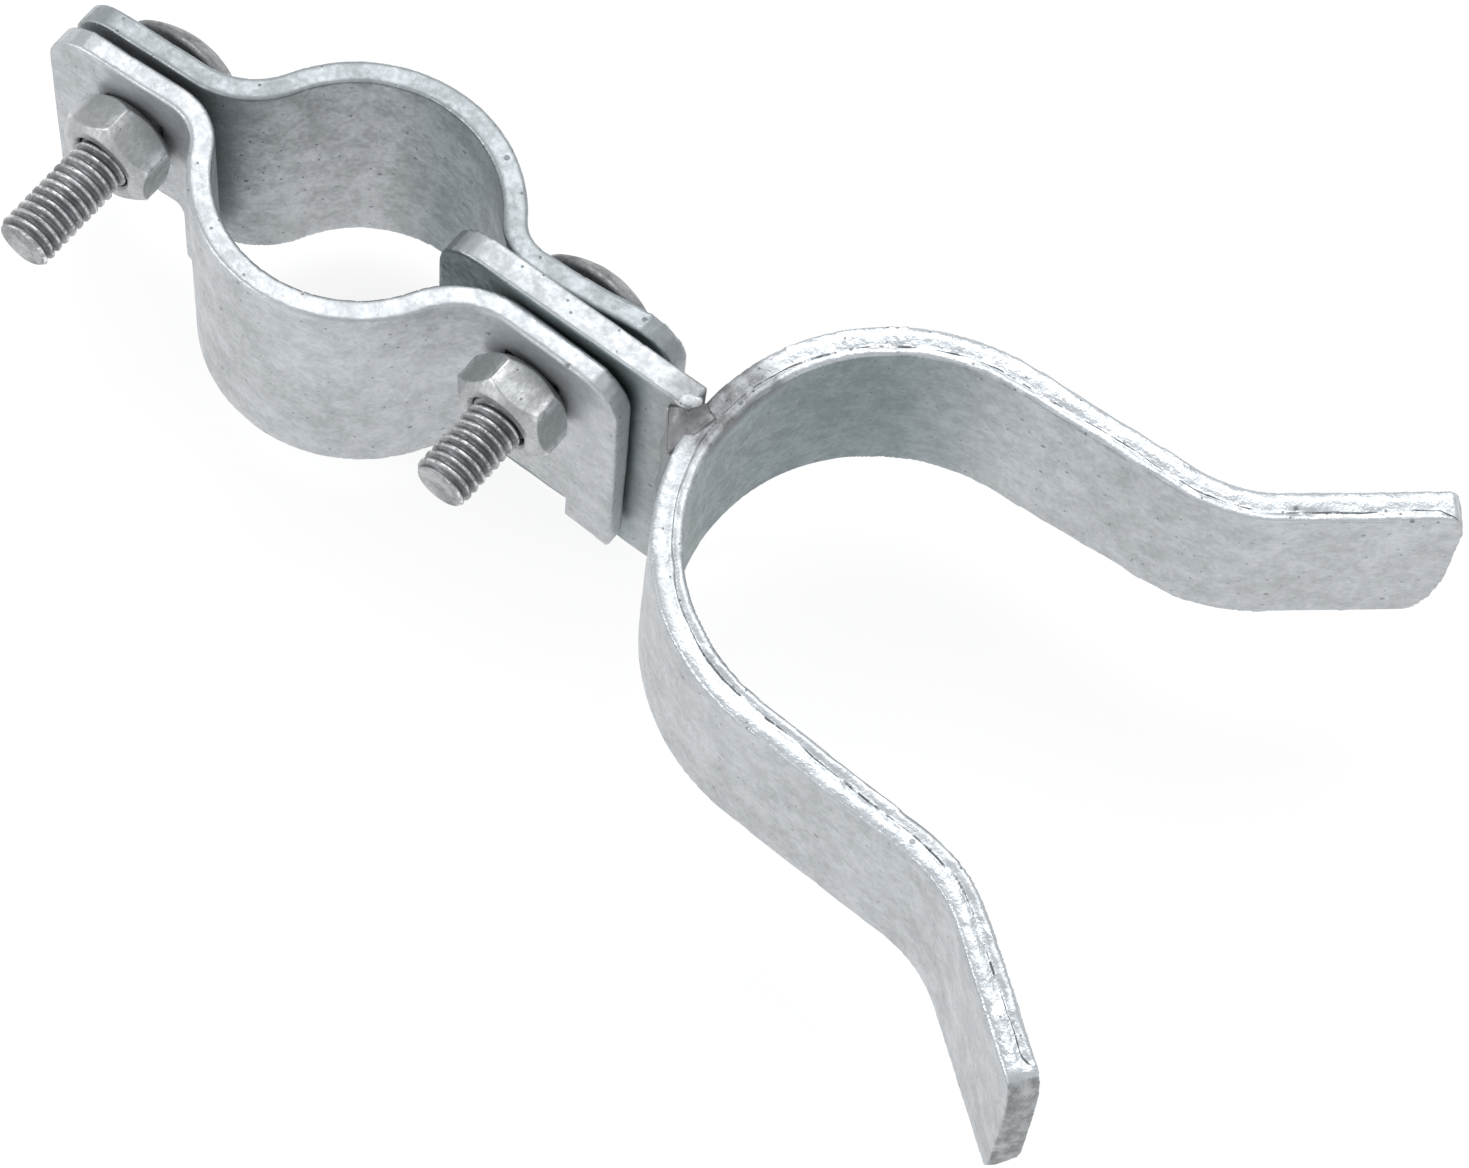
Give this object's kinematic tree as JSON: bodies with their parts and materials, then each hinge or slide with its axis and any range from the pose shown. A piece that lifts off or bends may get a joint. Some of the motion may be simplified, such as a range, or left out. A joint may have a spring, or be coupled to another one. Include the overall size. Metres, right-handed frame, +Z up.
{
  "type": "gate fork latch",
  "caption": "Galvanised drop-fork latch for a tubular gate: a two-part strap collar clamps the gate tube, and a bent-bar fork pivots on one of its bolts to close over the gate post.",
  "frame": {"origin": "on the axis of the collar's tube bore, half way up the collar strap", "axes": "+Z up along the gate tube; +X from the tube through the pivot bolt to the mouth of the fork; the bolts run along Y, heads at +Y and nuts at -Y"},
  "size_m": [0.1859, 0.1007, 0.0469],
  "materials": {
    "strap_zinc": "hot-dip galvanised steel strap, mottled satin grey",
    "bolt_steel": "dull grey mechanically galvanised steel",
    "nut_zinc": "satin zinc plated steel",
    "fork_zinc": "hot-dip galvanised steel bar, runs of thick zinc along its edges",
    "weld_zinc": "zinc-coated weld bead, duller than the bar"
  },
  "bodies": {
    "rear_collar": {"collar_rear": "strap_zinc", "clamp_bolt": "bolt_steel", "pivot_bolt": "bolt_steel"},
    "front_collar": {"collar_front": "strap_zinc"},
    "clamp_nut_body": {"clamp_nut": "nut_zinc"},
    "pivot_nut_body": {"pivot_nut": "nut_zinc"},
    "fork": {"fork_tongue": "fork_zinc", "fork_bar": "fork_zinc", "weld_front": "weld_zinc", "weld_rear": "weld_zinc"}
  },
  "joints": [
    {"name": "collar_open", "type": "slide", "parent": "rear_collar", "child": "front_collar", "axis": [0, -1, 0], "range_m": [0, 0.008]},
    {"name": "clamp_nut_turn", "type": "hinge", "parent": "front_collar", "child": "clamp_nut_body", "pos_m": [-0.0321, -0.01, 0.00755], "axis": [0, -1, 0], "range_deg": [0, 2045]},
    {"name": "pivot_nut_turn", "type": "hinge", "parent": "front_collar", "child": "pivot_nut_body", "pos_m": [0.0314, -0.008, 0.00755], "axis": [0, -1, 0], "range_deg": [0, 2045]},
    {"name": "fork_pivot", "type": "hinge", "parent": "rear_collar", "child": "fork", "pos_m": [0.0314, 0.00275, 0.00755], "axis": [0, -1, 0], "range_deg": [0, 95]}
  ],
  "couplings": [
    {"joint": "clamp_nut_turn", "follows": "collar_open", "rad_per_m": 4452.4},
    {"joint": "pivot_nut_turn", "follows": "collar_open", "rad_per_m": 4452.4}
  ]
}
